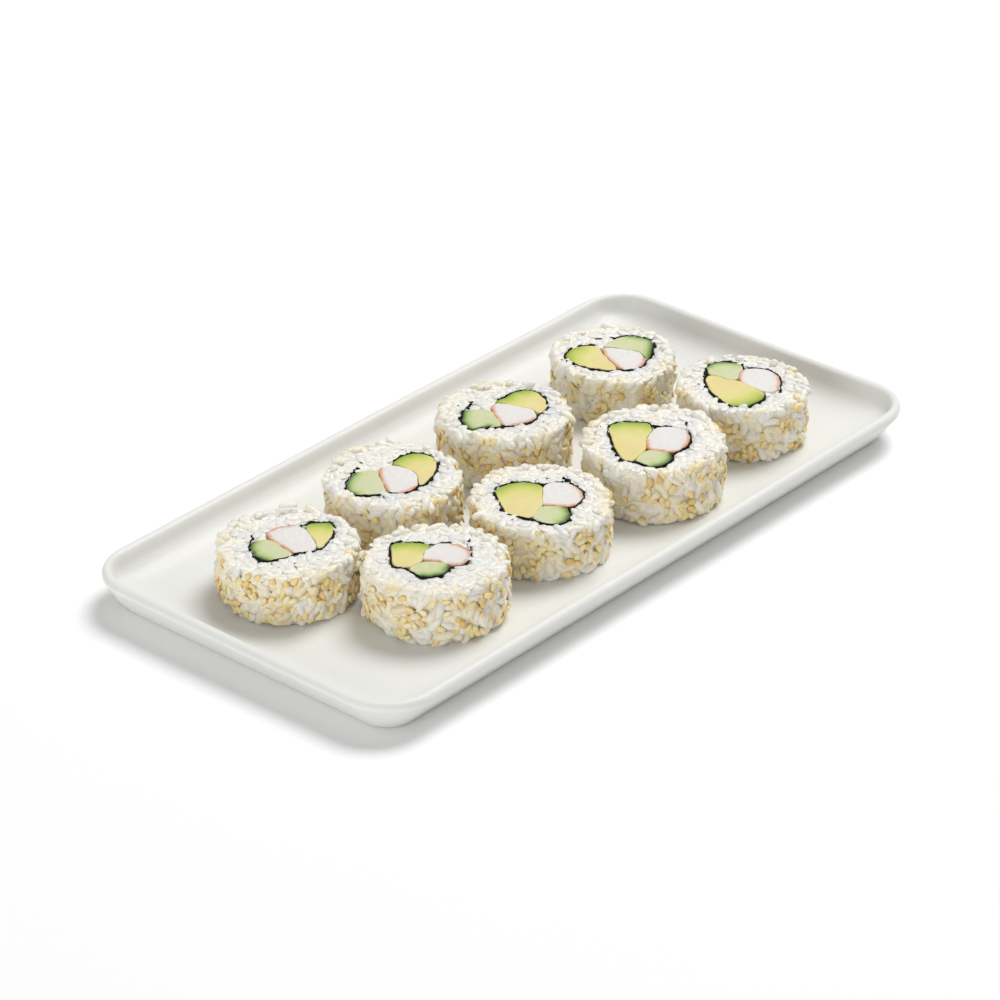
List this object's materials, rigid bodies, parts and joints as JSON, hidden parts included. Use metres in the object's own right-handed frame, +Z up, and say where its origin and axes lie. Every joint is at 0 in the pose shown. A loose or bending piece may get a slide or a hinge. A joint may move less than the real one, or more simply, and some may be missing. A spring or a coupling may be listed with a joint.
{
  "type": "maki sushi platter",
  "caption": "Inside-out sushi rolls with rice and sesame outside and avocado, cucumber and crab stick in seaweed, in two rows on a long white plate with a rolled rim.",
  "frame": {"origin": "on the table surface, under the middle of the plate", "axes": "+X along the plate's long side, +Y across the plate, away from the row of rolls 1 to 4, +Z up"},
  "size_m": [0.25, 0.126, 0.0242],
  "materials": {
    "white_glaze": "glossy white glaze",
    "rice": "moist cooked rice, slightly see-through",
    "seaweed": "damp black-green seaweed sheet",
    "avocado": "cut avocado flesh, yellow turning green towards the skin",
    "cucumber": "moist cucumber flesh with a dark green skin edge",
    "crab_stick": "white fibrous crab stick with an orange-red skin line"
  },
  "bodies": {
    "root": {"plate": "white_glaze", "roll_1_rice": "rice", "roll_1_nori": "seaweed", "roll_1_avocado": "avocado", "roll_1_cucumber": "cucumber", "roll_1_crab": "crab_stick", "roll_2_rice": "rice", "roll_2_nori": "seaweed", "roll_2_avocado": "avocado", "roll_2_cucumber": "cucumber", "roll_2_crab": "crab_stick", "roll_3_rice": "rice", "roll_3_nori": "seaweed", "roll_3_avocado": "avocado", "roll_3_cucumber": "cucumber", "roll_3_crab": "crab_stick", "roll_4_rice": "rice", "roll_4_nori": "seaweed", "roll_4_avocado": "avocado", "roll_4_cucumber": "cucumber", "roll_4_crab": "crab_stick", "roll_5_rice": "rice", "roll_5_nori": "seaweed", "roll_5_avocado": "avocado", "roll_5_cucumber": "cucumber", "roll_5_crab": "crab_stick", "roll_6_rice": "rice", "roll_6_nori": "seaweed", "roll_6_avocado": "avocado", "roll_6_cucumber": "cucumber", "roll_6_crab": "crab_stick", "roll_7_rice": "rice", "roll_7_nori": "seaweed", "roll_7_avocado": "avocado", "roll_7_cucumber": "cucumber", "roll_7_crab": "crab_stick", "roll_8_rice": "rice", "roll_8_nori": "seaweed", "roll_8_avocado": "avocado", "roll_8_cucumber": "cucumber", "roll_8_crab": "crab_stick"}
  },
  "joints": []
}
